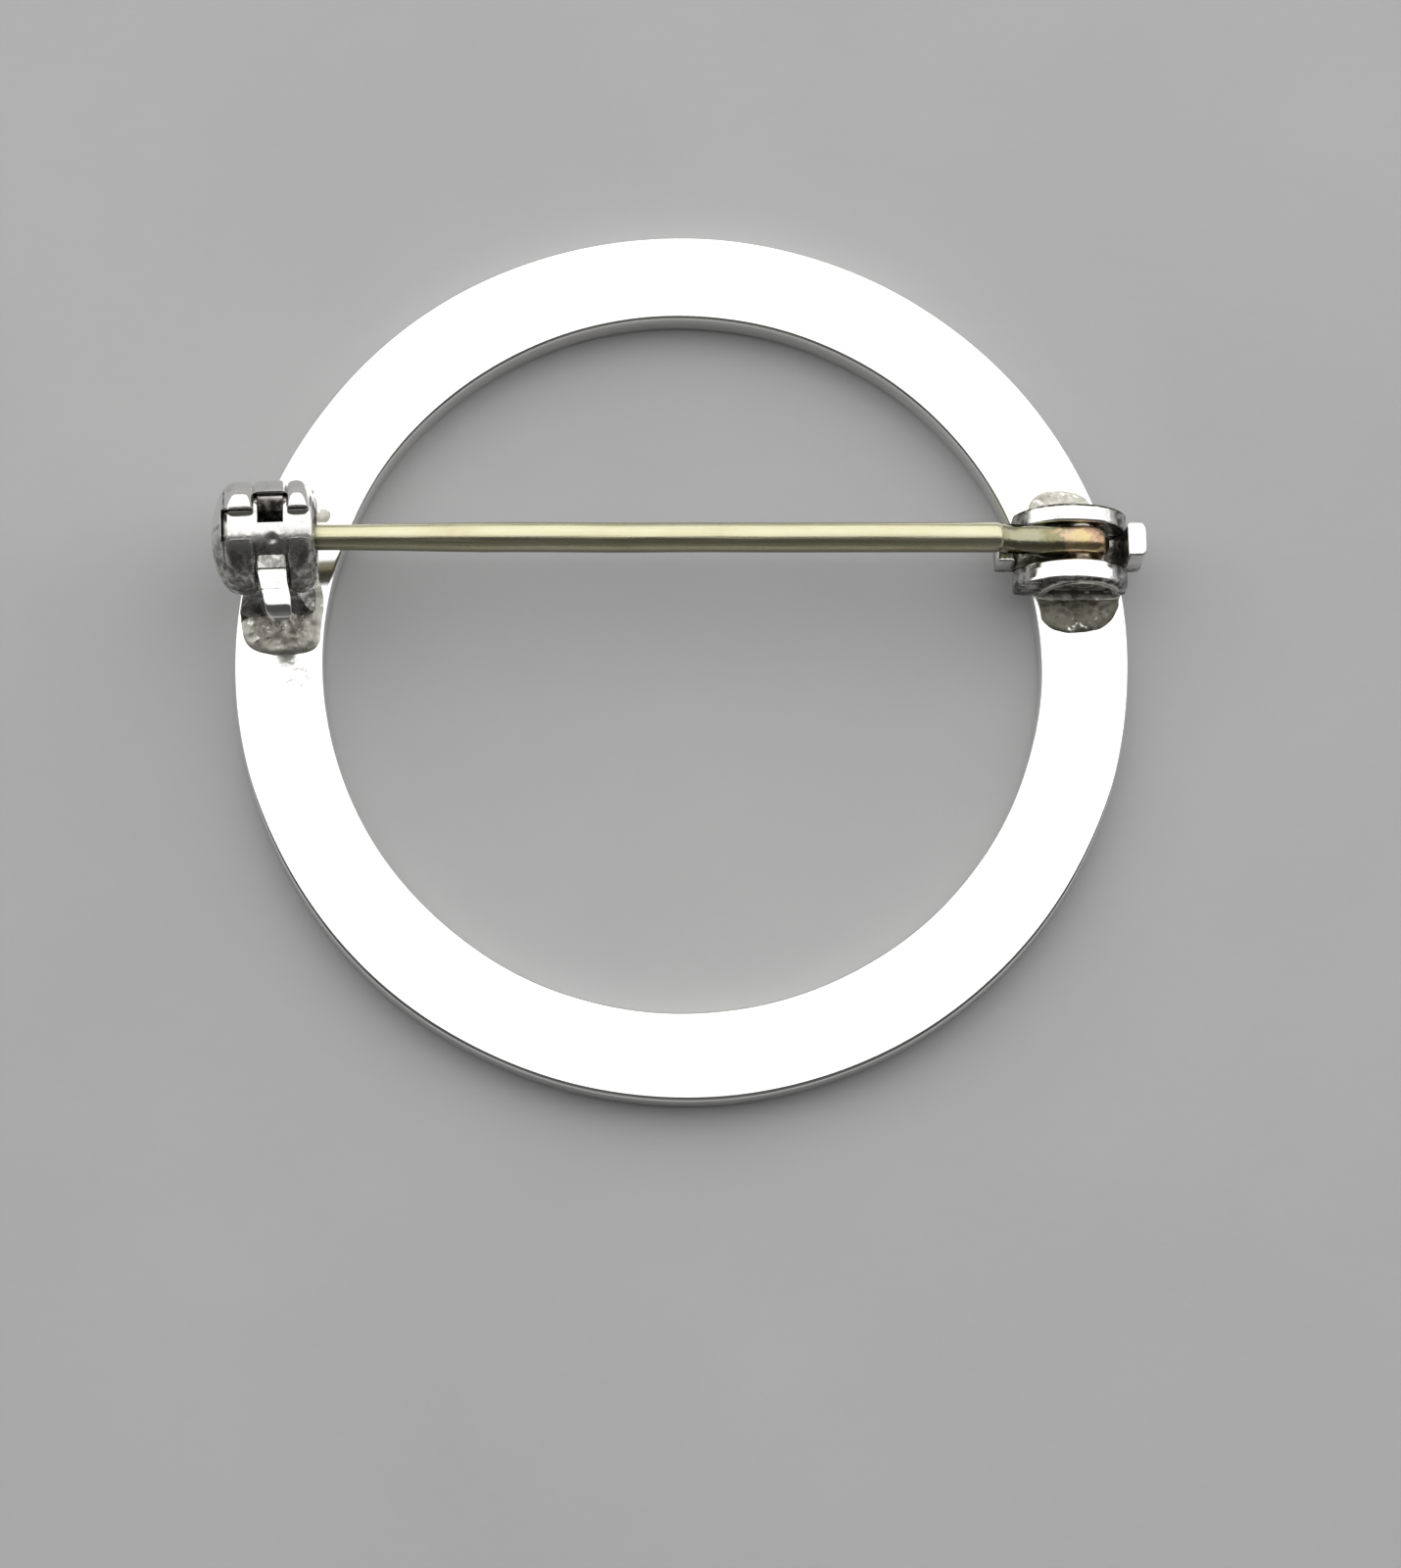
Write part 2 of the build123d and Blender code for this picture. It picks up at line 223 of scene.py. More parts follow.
def grid_faces(rows, columns, wrap_rows):
    """Quads between neighbours of a grid whose columns wrap round; its rows may too."""
    i = np.arange(rows if wrap_rows else rows - 1)[:, None]
    j = np.arange(columns)[None, :]
    here, above = i * columns, ((i + 1) % rows) * columns
    right = (j + 1) % columns
    quads = np.stack([here + j, here + right, above + right, above + j], axis=-1)
    return quads.reshape(-1, 4).tolist()


def skin(name, grid, place, look, wrap_rows=False):
    """A closed surface from rows of a profile that wraps, with a flat cap on each end row."""
    rows, columns = grid.shape[:2]
    faces = grid_faces(rows, columns, wrap_rows)
    if not wrap_rows:
        faces.append(list(range(columns))[::-1])
        faces.append(list(range((rows - 1) * columns, rows * columns)))
    return make_piece(name, grid.reshape(-1, 3), faces, place, look)


def turned(name, profile, axis, place, look, columns=64, sway=None):
    """A turned piece: each (along, radius) of its profile is a circle about the axis.
    Both ends of the profile lie on the axis."""
    along, radius = profile[:, 0, None], profile[:, 1, None]
    angle = np.linspace(0, 2 * math.pi, columns, endpoint=False)[None, :]
    one, two = radius * np.cos(angle), radius * np.sin(angle)
    along = along + 0 * angle
    grid = np.stack({"X": (along, one, two), "Y": (one, along, two), "Z": (one, two, along)}[axis], -1)
    if sway is not None:
        grid = sway(grid)
    return skin(name, grid, place, look)


def shell(name, outer, inner, keep, place, look):
    """Two sheets of the same grid, joined by a wall round every border of the kept cells."""
    rows, columns = outer.shape[:2]
    count = rows * columns
    index = np.arange(count).reshape(rows, columns)
    cells = np.stack([index[:-1, :-1], index[:-1, 1:], index[1:, 1:], index[1:, :-1]], -1)[keep]
    around = np.pad(keep, 1)
    across = around[:-1, 1:-1] != around[1:, 1:-1]
    along = around[1:-1, :-1] != around[1:-1, 1:]
    start = np.concatenate([index[:, :-1][across], index[:-1][along]])
    end = np.concatenate([index[:, 1:][across], index[1:][along]])
    walls = np.stack([start, end, end + count, start + count], -1)
    faces = np.concatenate([cells, cells[:, ::-1] + count, walls])
    points = np.concatenate([outer.reshape(-1, 3), inner.reshape(-1, 3)])
    return make_piece(name, points, faces.tolist(), place, look)


def outline(corners, radii, insets, steps=8):
    """Rounded polygons, one for each inset: every side is moved in by the inset, and each
    corner becomes an arc that touches its two sides, with its radius less the inset."""
    point = np.asarray(corners, float) * MM
    back, ahead = unit(np.roll(point, 1, 0) - point), unit(np.roll(point, -1, 0) - point)
    turn = np.sign(back[:, 1] * ahead[:, 0] - back[:, 0] * ahead[:, 1])
    half = np.arccos(np.clip((back * ahead).sum(-1), -1, 1)) / 2
    middle = unit(back + ahead)
    inset = np.asarray(insets, float)[:, None] * MM
    radius = np.maximum(np.asarray(radii, float) * MM - turn * inset, LEAST_CORNER)
    centre = point + middle * ((turn * inset + radius) / np.sin(half))[..., None]
    first = back * np.cos(half)[:, None] - middle
    last = ahead * np.cos(half)[:, None] - middle
    start = np.arctan2(first[:, 1], first[:, 0])
    sweep = np.arctan2(last[:, 1], last[:, 0]) - start
    sweep = (sweep + math.pi) % (2 * math.pi) - math.pi
    angle = start[:, None] + sweep[:, None] * np.linspace(0, 1, steps + 1)
    arc = np.stack([np.cos(angle), np.sin(angle)], -1)
    rounded = centre[:, :, None, :] + radius[..., None, None] * arc
    return rounded.reshape(len(inset), -1, 2)


def standing(flat, across):
    """Outlines in X and Z, each set at its own Y."""
    side = np.asarray(across, float)[:, None] * MM + 0 * flat[..., 0]
    return np.stack([flat[..., 0], side, flat[..., 1]], -1)


def lying(flat, height):
    """Outlines in X and Y, each set at its own Z."""
    level = np.asarray(height, float)[:, None] * MM + 0 * flat[..., 0]
    return np.stack([flat[..., 0], flat[..., 1], level], -1)


# Finishes

def finish_of(name, colour, metal, rough):
    """A new material's tree, its shader and the object's own coordinates."""
    material = bpy.data.materials.new(name)
    material.use_nodes = True
    tree = material.node_tree
    shader = tree.nodes["Principled BSDF"]
    shader.inputs["Base Color"].default_value = (*colour, 1)
    shader.inputs["Metallic"].default_value = metal
    shader.inputs["Roughness"].default_value = rough
    spot = tree.nodes.new("ShaderNodeTexCoord").outputs["Object"]
    return material, tree, shader, spot


def stretched(tree, spot, scale, turn=0.0):
    """Coordinates turned about Z and scaled, for grain that runs one way."""
    node = tree.nodes.new("ShaderNodeMapping")
    node.inputs["Rotation"].default_value = (0, 0, math.radians(turn))
    node.inputs["Scale"].default_value = scale
    tree.links.new(spot, node.inputs["Vector"])
    return node.outputs["Vector"]


def grain(tree, spot, scale, detail=3.0, rough=0.55, warp=0.0):
    """Cloudy noise, with features about one over its scale in metres."""
    node = tree.nodes.new("ShaderNodeTexNoise")
    node.inputs["Scale"].default_value = scale
    node.inputs["Detail"].default_value = detail
    node.inputs["Roughness"].default_value = rough
    node.inputs["Distortion"].default_value = warp
    tree.links.new(spot, node.inputs["Vector"])
    return node.outputs["Fac"]


def ranged(tree, value, low, high, to_low, to_high, kind="SMOOTHSTEP"):
    """A value from one span carried to another, held at its ends."""
    node = tree.nodes.new("ShaderNodeMapRange")
    node.interpolation_type = kind
    for socket, number in zip(("From Min", "From Max", "To Min", "To Max"), (low, high, to_low, to_high)):
        node.inputs[socket].default_value = number
    tree.links.new(value, node.inputs["Value"])
    return node.outputs["Result"]


def combined(tree, kind, one, two):
    """Two values, or a value and a number, put together by one kind of sum."""
    node = tree.nodes.new("ShaderNodeMath")
    node.operation = kind
    tree.links.new(one, node.inputs[0])
    if isinstance(two, float):
        node.inputs[1].default_value = two
    else:
        tree.links.new(two, node.inputs[1])
    return node.outputs[0]


def times(tree, one, two):
    """The product of two values, or of a value and a number."""
    return combined(tree, "MULTIPLY", one, two)


def plus(tree, one, two):
    """Two values, or a value and a number, added."""
    return combined(tree, "ADD", one, two)


def away(tree, value, middle):
    """How far a value is from a middle one, either way."""
    return combined(tree, "ABSOLUTE", plus(tree, value, -middle), 0.0)


def colours(tree, value, stops):
    """A ramp of colours over a value."""
    node = tree.nodes.new("ShaderNodeValToRGB")
    ramp = node.color_ramp
    while len(ramp.elements) < len(stops):
        ramp.elements.new(0.5)
    for element, (at, colour) in zip(ramp.elements, stops):
        element.position = at
        element.color = (*colour, 1)
    tree.links.new(value, node.inputs["Fac"])
    return node.outputs["Color"]


def blended(tree, share, one, two):
    """Two colours mixed by a share."""
    node = tree.nodes.new("ShaderNodeMix")
    node.data_type = "RGBA"
    tree.links.new(share, node.inputs["Factor"])
    for socket, colour in ((node.inputs["A"], one), (node.inputs["B"], two)):
        if isinstance(colour, tuple):
            socket.default_value = (*colour, 1)
        else:
            tree.links.new(colour, socket)
    return node.outputs["Result"]


def near(tree, spot, centre, inner, outer):
    """1 within the inner distance of a point, 0 beyond the outer one."""
    node = tree.nodes.new("ShaderNodeVectorMath")
    node.operation = "DISTANCE"
    tree.links.new(spot, node.inputs[0])
    node.inputs[1].default_value = centre
    return ranged(tree, node.outputs["Value"], inner, outer, 1.0, 0.0)


def raised(tree, shader, height, depth, under=None):
    """Surface relief from a height between 0 and 1, so many metres deep."""
    node = tree.nodes.new("ShaderNodeBump")
    node.inputs["Strength"].default_value = 1.0
    node.inputs["Distance"].default_value = depth
    tree.links.new(height, node.inputs["Height"])
    if under is not None:
        tree.links.new(under, node.inputs["Normal"])
    tree.links.new(node.outputs["Normal"], shader.inputs["Normal"])
    return node.outputs["Normal"]


def shaded(tree, shader, base, rough):
    """Links a base colour and a roughness to the shader."""
    tree.links.new(base, shader.inputs["Base Color"])
    tree.links.new(rough, shader.inputs["Roughness"])


def local(tree, spot, origin, turn):
    """The X, Y and Z of a piece's own frame, from the object's coordinates."""
    node = tree.nodes.new("ShaderNodeMapping")
    node.vector_type = "TEXTURE"
    node.inputs["Location"].default_value = origin
    node.inputs["Rotation"].default_value = (0, 0, math.radians(turn))
    tree.links.new(spot, node.inputs["Vector"])
    split = tree.nodes.new("ShaderNodeSeparateXYZ")
    tree.links.new(node.outputs["Vector"], split.inputs["Vector"])
    return split.outputs


def in_catch(tree, spot):
    """The X, Y and Z of the catch's frame."""
    return local(tree, spot, CATCH_SPOT, CATCH_TURN)


def in_hinge(tree, spot):
    """The X, Y and Z of the hinge's frame."""
    return local(tree, spot, HINGE_SPOT, HINGE_TURN)


def polished_silver():
    """Bright silver with wiping marks, a pitted patch by the catch and a warm tint by the hinge."""
    material, tree, shader, spot = finish_of("polished_silver", (0.95, 0.945, 0.93), 1.0, 0.13)
    haze = grain(tree, spot, 260, 4, 0.6, 0.6)
    wiped = grain(tree, stretched(tree, spot, (700, 9000, 4000), 24), 1.0, 2)
    wiped_back = grain(tree, stretched(tree, spot, (8000, 900, 4000), 11), 1.0, 2)
    rough = plus(tree, ranged(tree, haze, 0.35, 0.75, 0.09, 0.2), ranged(tree, wiped, 0.55, 0.8, 0.0, 0.08))
    patch = near(tree, spot, PITTED_PATCH, 0.2 * MM, 0.75 * MM)
    patch = times(tree, patch, ranged(tree, grain(tree, spot, 3000, 3), 0.34, 0.56, 0.0, 1.0))
    pits = times(tree, patch, ranged(tree, grain(tree, spot, 9000, 4, 0.7, 0.3), 0.45, 0.62, 0.0, 1.0))
    tint = near(tree, spot, WARM_TINT, 0.2 * MM, 1.3 * MM)
    base = colours(tree, haze, [(0.3, CLEAR_SILVER), (0.8, HAZED_SILVER)])
    base = blended(tree, times(tree, tint, 0.5), base, TINTED_SILVER)
    base = blended(tree, times(tree, pits, 0.5), base, PITTED_SILVER)
    shaded(tree, shader, base, plus(tree, rough, times(tree, pits, 0.35)))
    marks = raised(tree, shader, plus(tree, wiped, wiped_back), 0.0006 * MM)
    raised(tree, shader, times(tree, pits, -1.0), 0.006 * MM, marks)
    return material


def plated(name, stains):
    """Plated metal: bright, with soft clouds of wear. Where it has random stains, and where shade
    is painted on it, it turns olive grey, rougher and mottled. The stains are a list of functions
    of tree and spot, of which the strongest counts: painted shade, and the cap's dark seam."""
    material, tree, shader, spot = finish_of(name, (0.84, 0.83, 0.8), 1.0, 0.14)
    clouds = grain(tree, spot, 700, 4, 0.6, 0.4)
    fine = grain(tree, spot, 3200, 5, 0.6, 0.3)
    patch = ranged(tree, grain(tree, spot, 1500, 3), 0.52, 0.64, 0.0, 0.3)
    # Each mask is painted shade, except the cap's seam, a real dark joint
    for dark_joint_and_painted_shade in stains:
        patch = combined(tree, "MAXIMUM", patch, dark_joint_and_painted_shade(tree, spot))
    mottle = times(tree, patch, ranged(tree, fine, 0.4, 0.6, 1.0, 0.38))
    rough = plus(tree, ranged(tree, clouds, 0.3, 0.8, 0.1, 0.2), times(tree, mottle, 0.3))
    base = colours(tree, clouds, [(0.3, CLEAR_NICKEL), (0.75, WORN_NICKEL)])
    shaded(tree, shader, blended(tree, mottle, base, STAIN_AND_PAINTED_SHADE), rough)
    soft = raised(tree, shader, grain(tree, spot, 2600, 2), 0.003 * MM)
    raised(tree, shader, times(tree, patch, fine), 0.012 * MM, soft)
    return material


def lower_front_painted_shade(tree, spot):
    """Painted shade on the catch's lower front side, towards the solder."""
    return ranged(tree, in_catch(tree, spot)["Y"], 0.15 * MM, -0.75 * MM, 0.0, 0.85)


def cap_seam(tree, spot):
    """The dark line where the catch's cap meets its barrel."""
    gap = away(tree, in_catch(tree, spot)["X"], CAP_SEAM)
    return ranged(tree, gap, 0.05 * MM, 0.02 * MM, 0.0, 0.85)


def near_ring_painted_shade(tree, spot):
    """Painted shade on the lowest parts, just over the ring."""
    return ranged(tree, local(tree, spot, (0, 0, 0), 0)["Z"], 2.3 * MM, 1.5 * MM, 0.0, 0.95)


def sleeve_inside_painted_shade(tree, spot):
    """Painted shade on the inside of the catch, from the squared distance to its axis."""
    _, y, z = in_catch(tree, spot)
    square = plus(tree, times(tree, y, y), times(tree, z, z))
    return ranged(tree, square, (1.46 * MM) ** 2, (1.3 * MM) ** 2, 0.0, 1.0)


def lever_root_painted_shade(tree, spot):
    """Painted shade on the root of the lever by the sleeve, grey up to the thin line across it."""
    return ranged(tree, in_catch(tree, spot)["Y"], -1.43 * MM, -1.4 * MM, 0.0, 0.75)


def dimple_painted_shade(tree, spot):
    """A painted dark spot of shade on the sleeve, round the dimple between its window and the lever."""
    return times(tree, near(tree, spot, DIMPLE_SHADE_MIDDLE, 0.26 * MM, 0.4 * MM), 0.85)


def ear_face_painted_shade(tree, spot):
    """Painted shade on the front ear's outer face, weaker on the raised arch's top so that the arch reads as
    lit.
    """
    y = in_hinge(tree, spot)["Y"]
    face = ranged(tree, y, -1.31 * MM, -1.36 * MM, 0.0, 1.0)
    return times(tree, face, ranged(tree, y, -1.425 * MM, -1.405 * MM, 0.25, 1.0))


def ear_back_edge_painted_shade(tree, spot):
    """Painted shade on the back ear's rounded outer edge."""
    return ranged(tree, in_hinge(tree, spot)["Y"], 1.1 * MM, 1.16 * MM, 0.0, 1.6)


def ear_flanks_painted_shade(tree, spot):
    """Painted shade on the flanks at both ends of the ears."""
    gap = away(tree, in_hinge(tree, spot)["X"], EAR_CENTRE)
    return ranged(tree, gap, 1.3 * MM, 1.55 * MM, 0.0, 0.95)


def drawn_wire():
    """Olive nickel silver wire with drawing lines along it, browner stretches, and painted shade that
    darkens its lower side."""
    material, tree, shader, spot = finish_of("drawn_wire", (0.62, 0.59, 0.4), 1.0, 0.3)
    lines = grain(tree, stretched(tree, spot, (250, 12000, 12000), HINGE_TURN), 1.0, 3)
    stains = grain(tree, stretched(tree, spot, (260, 900, 900)), 1.0, 4, 0.6, 0.5)
    base = colours(tree, stains, [(0.25, PALE_WIRE), (0.55, OLIVE_WIRE), (0.8, BROWN_WIRE)])
    # Painted shade: the wire darkens to near black towards its lower side
    below = ranged(tree, in_hinge(tree, spot)["Z"], 1.34 * MM, 1.02 * MM, 0.0, 0.85)
    rough = plus(tree, ranged(tree, lines, 0.3, 0.7, 0.22, 0.34), ranged(tree, stains, 0.5, 0.8, 0.0, 0.1))
    shaded(tree, shader, blended(tree, below, base, WIRE_PAINTED_SHADE), rough)
    raised(tree, shader, lines, 0.004 * MM)
    return material


def head_tones_and_painted_light():
    """The worn head of the pin: olive towards the wire, a golden and rosy painted highlight over the rivet,
    and painted shade at its round end.
    """
    material, tree, shader, spot = finish_of("head_tones_and_painted_light", (0.62, 0.55, 0.34), 1.0, 0.26)
    along = ranged(tree, local(tree, spot, (0, 0, 0), 0)["X"], 11.4 * MM, 14.5 * MM, 0.0, 0.9)
    stains = grain(tree, spot, 1700, 3, 0.6, 0.4)
    base = colours(tree, plus(tree, along, ranged(tree, stains, 0.3, 0.7, -0.12, 0.2)), HEAD_TONES_AND_PAINTED_LIGHT)
    shaded(tree, shader, base, ranged(tree, stains, 0.3, 0.75, 0.2, 0.36))
    raised(tree, shader, grain(tree, spot, 5200, 3), 0.008 * MM)
    return material


def rough_solder(name, tones, bare):
    """Dull solder, clouded between three tones from dark to light, with bright, bare grains
    where the last argument, a function of tree and spot, lets them through."""
    material, tree, shader, spot = finish_of(name, tones[1], 1.0, 0.42)
    clouds = grain(tree, spot, 1700, 4, 0.6, 0.3)
    sand = grain(tree, spot, 6000, 3, 0.6, 0.2)
    grains = times(tree, sand, grain(tree, spot, 4200, 3))
    bright = times(tree, ranged(tree, grains, 0.3, 0.4, 0.0, 0.8), bare(tree, spot))
    base = colours(tree, clouds, list(zip((0.28, 0.5, 0.72), tones)))
    shaded(tree, shader, blended(tree, bright, base, BARE_GRAIN), ranged(tree, bright, 0.0, 1.0, 0.52, 0.3))
    raised(tree, shader, plus(tree, times(tree, sand, 0.5), clouds), 0.008 * MM)
    return material


def everywhere(tree, spot):
    """Grains shown all over."""
    return ranged(tree, grain(tree, spot, 500, 2), 0.2, 0.5, 0.3, 1.0)


def grains_past_painted_shade(tree, spot):
    """Grains shown only towards the front solder's lower rim, from the ear outwards, past the painted shade
    by the ear.
    """
    return ranged(tree, in_hinge(tree, spot)["Y"], -1.95 * MM, -2.35 * MM, 0.0, 1.0)


def pale_board():
    """The pale floor: a smooth board with a trace of mottle."""
    material, tree, shader, spot = finish_of("pale_board", (0.44, 0.44, 0.445), 0.0, 0.75)
    base = colours(tree, grain(tree, spot, 40, 5, 0.6), BOARD_SHADES)
    tree.links.new(base, shader.inputs["Base Color"])
    raised(tree, shader, grain(tree, spot, 1800, 4), 0.01 * MM)
    return material


SILVER = polished_silver()
# The plated finishes below differ by their painted shade; the barrel's cap seam is a real dark joint
NICKEL = plated("nickel", [])
BARREL_NICKEL = plated("barrel_nickel", [lower_front_painted_shade, near_ring_painted_shade, cap_seam])
FOOT_NICKEL = plated("foot_nickel", [near_ring_painted_shade])
EAR_NICKEL = plated("ear_nickel", [ear_face_painted_shade, ear_back_edge_painted_shade, ear_flanks_painted_shade])
STRIP_NICKEL = plated("strip_nickel", [near_ring_painted_shade])
SLEEVE_NICKEL = plated("sleeve_nickel", [lower_front_painted_shade, sleeve_inside_painted_shade, dimple_painted_shade])
LIGHT_SOLDER = rough_solder("light_solder", LIGHT_SOLDER_TONES, everywhere)
# The front ear's solder is the light solder darkened: painted shade
PAINTED_SHADE_SOLDER = rough_solder("solder_in_painted_shade", PAINTED_SHADE_SOLDER_TONES, grains_past_painted_shade)
LEVER_NICKEL = plated("lever_nickel", [lever_root_painted_shade])

RING_LOOK = (SILVER, "frame", "ring_frame", "silver")
BARREL_LOOK = (BARREL_NICKEL, "frame", "ring_frame", "nickel")
FOOT_LOOK = (FOOT_NICKEL, "frame", "ring_frame", "nickel")
EAR_LOOK = (EAR_NICKEL, "frame", "ring_frame", "nickel")
STRIP_LOOK = (STRIP_NICKEL, "frame", "ring_frame", "nickel")
LIGHT_SOLDER_LOOK = (LIGHT_SOLDER, "frame", "ring_frame", "silver")
PAINTED_SHADE_SOLDER_LOOK = (PAINTED_SHADE_SOLDER, "frame", "ring_frame", "silver")
SLEEVE_LOOK = (SLEEVE_NICKEL, "lever", "catch_lever", "nickel")
LEVER_LOOK = (LEVER_NICKEL, "lever", "catch_lever", "nickel")
RIVET_LOOK = (NICKEL, "frame", "hinge_rivet", "nickel")
WIRE_LOOK = (drawn_wire(), "pin", "pin_stem", "nickel_silver")
HEAD_LOOK = (head_tones_and_painted_light(), "pin", "pin_stem", "nickel_silver")


# Ring

def ring():
    """The flat band: a rounded rectangle of (radius, height) carried round the Z axis, with
    faces crowned by a few microns and edges whose rounding varies a little round the ring."""
    edge_wear, crown = 0.006, 0.012
    wide, thick = (RING_OUTER - RING_INNER) / MM / 2, BACK / MM
    section = [(-wide, 0), (wide, 0), (wide, thick), (-wide, thick)]
    flat = outline(section, [RING_EDGE / MM] * 4, [0.0], 7)[0]
    angle = np.linspace(0, 2 * math.pi, 512, endpoint=False)[:, None]
    across, height = flat[None, :, 0], flat[None, :, 1]
    circle = np.stack([np.cos(angle[:, 0]), np.sin(angle[:, 0]), 0 * angle[:, 0]], -1) * RING_INNER
    uneven = ripple(circle, 5, 6.0 * MM)[:, None]
    edge = np.abs(across) / (wide * MM)
    across = across * (1 - edge_wear * smooth(edge, 0.8, 1.0) * (1 + uneven))
    middle = BACK / 2
    height = middle + (height - middle) * (1 - crown * edge**6 * (1 + 0.5 * uneven))
    radius = (RING_OUTER + RING_INNER) / 2 + across
    grid = np.stack([radius * np.cos(angle), radius * np.sin(angle), height + 0 * angle], -1)
    return skin("ring", grid, WORLD, RING_LOOK, wrap_rows=True)


# Catch

def pie(breaks, counts):
    """Angles in degrees through several breakpoints, each an array down the rows."""
    runs = [a[:, None] + (b - a)[:, None] * np.linspace(0, 1, n, endpoint=False)
            for a, b, n in zip(breaks[:-1], breaks[1:], counts)]
    return np.concatenate([*runs, breaks[-1][:, None]], axis=1)


def tube_sheet(along, radius, breaks, counts):
    """A sheet of points about the X axis: one row for each (along, radius)."""
    angle = np.radians(pie(breaks, counts))
    radius = radius[:, None]
    return np.stack([along[:, None] + 0 * angle, radius * np.cos(angle), radius * np.sin(angle)], -1)


def run_of(points, count):
    """A broken line of (along, radius) points, spaced evenly along its length."""
    line = np.asarray(points, float)
    length = np.concatenate([[0], np.cumsum(np.linalg.norm(np.diff(line, axis=0), axis=1))])
    at = np.linspace(0, length[-1], count)
    return np.stack([np.interp(at, length, line[:, 0]), np.interp(at, length, line[:, 1])], -1)


def barrel_angles(radius):
    """Where the barrel's throat and groove start and end, for each radius, from straight up
    round the back. The throat is as wide as the pin's slot and the groove's back wall is
    upright, so their angles are the arc cosine of their Y over the radius; both stay as they
    are nearer the axis than the bore's edge, where the end is closed."""
    radius = np.maximum(radius, 1.2 * MM)
    mouth = np.degrees(np.arccos(THROAT_HALF / radius))
    back = np.degrees(np.arccos(np.minimum(1, GROOVE_BACK / radius)))
    front = -360 + GROOVE_END_ANGLE + 0 * radius
    return [90 + 0 * radius, mouth, back, front, -180 - mouth, -270 + 0 * radius]


def catch_barrel():
    """The C-shaped barrel: an outer and an inner sheet about X, open along its throat and
    round its groove. In profile its mouth's edge is part of an ellipse. Its closed end is a
    quarter of one, scored by two fine lines, and goes on over the throat's end."""
    counts = (5, 14, 110, 16, 5)
    turn = np.radians(np.linspace(29, 90, 12))
    mouth = np.stack([1.2 + 0.52 * np.cos(turn), 1.255 + 0.62 * np.sin(turn)], -1)
    rim = np.array([(1.1, 1.872), (1.02, 1.862), (0.95, 1.845), (0.89, 1.815), (0.85, 1.775),
                    (0.83, 1.73), (0.81, 1.68)])
    band = np.array([(0.79, 1.73), (0.76, 1.79), (0.7, 1.84), (0.62, 1.866), (0.5, 1.875), (0.2, 1.875),
                     (-0.05, 1.87), (-0.15, 1.85), (-0.22, 1.81), (-0.26, 1.75), (-0.28, 1.7)])
    shoulder = np.array([(-0.3, 1.74), (-0.34, 1.785), (-0.4, 1.83), (-0.48, 1.862), (-0.58, 1.875),
                         (-0.7, 1.875)])
    dome_start, dome_length, dome_radius, throat_past_it = -0.85, 0.9, 1.875, 0.5
    score_depth, score_centre = 0.03, -0.6
    open_rows, closed_rows = 40, 60
    throat_end = math.asin(throat_past_it / dome_length)
    sweep = np.concatenate([np.linspace(0, throat_end, open_rows),
                            np.linspace(throat_end, math.pi / 2, closed_rows)[1:]])
    dome = np.stack([dome_start - dome_length * np.sin(sweep), dome_radius * np.cos(sweep)], -1)
    seam = np.exp(-(((dome[:, 0] - CAP_SEAM / MM) / 0.025) ** 2))
    fine_line = np.exp(-(((dome[:, 0] + 1.5) / 0.03) ** 2))
    score = seam + 0.4 * fine_line
    dome -= score_depth * score[:, None] * unit(dome - [score_centre, 0])
    open_dome, closed_dome = dome[:open_rows], dome[open_rows:]
    outside = np.concatenate([mouth, rim, band, shoulder, open_dome, closed_dome]) * MM
    parts = len(mouth) + len(rim), len(band), len(shoulder) + len(open_dome), len(closed_dome)
    bore_end, wall_rim = (-1.14 * MM, BARREL_INNER), (END_WALL_FACE, 1.36 * MM)
    inside = np.concatenate([
        run_of([(1.63 * MM, BARREL_INNER), (GROOVE_RIGHT, BARREL_INNER)], parts[0]),
        run_of([(GROOVE_RIGHT, BARREL_INNER), (GROOVE_LEFT, BARREL_INNER)], parts[1] + 1)[1:],
        run_of([(GROOVE_LEFT, BARREL_INNER), bore_end, wall_rim], parts[2] + 1)[1:],
        run_of([wall_rim, (END_WALL_FACE, 0)], parts[3] + 1)[1:]])
    outer = tube_sheet(outside[:, 0], outside[:, 1], barrel_angles(outside[:, 1]), counts)
    inner = tube_sheet(inside[:, 0], inside[:, 1], barrel_angles(inside[:, 1]), counts)
    keep = np.ones((len(outside) - 1, sum(counts)), bool)
    groove = slice(parts[0] - 1, parts[0] + parts[1] - 1)
    keep[groove, :counts[0] + counts[1]] = False
    keep[groove, sum(counts[:3]):] = False
    throat = slice(0, sum(parts[:3]) - 1)
    keep[throat, :counts[0]] = False
    keep[throat, -counts[4]:] = False
    piece = shell("catch_barrel", outer, inner, keep, CATCH, BARREL_LOOK)
    return bevelled(piece, 0.02 * MM, angle=50)


def over_the_ring(points):
    """Points kept over the ring's flat back, by drawing their distance from the centre in."""
    distance = np.linalg.norm(points[..., :2], axis=-1, keepdims=True)
    kept = np.clip(distance, RING_INNER + RING_EDGE, RING_OUTER - RING_EDGE)
    return np.concatenate([points[..., :2] * kept / distance, points[..., 2:]], -1)


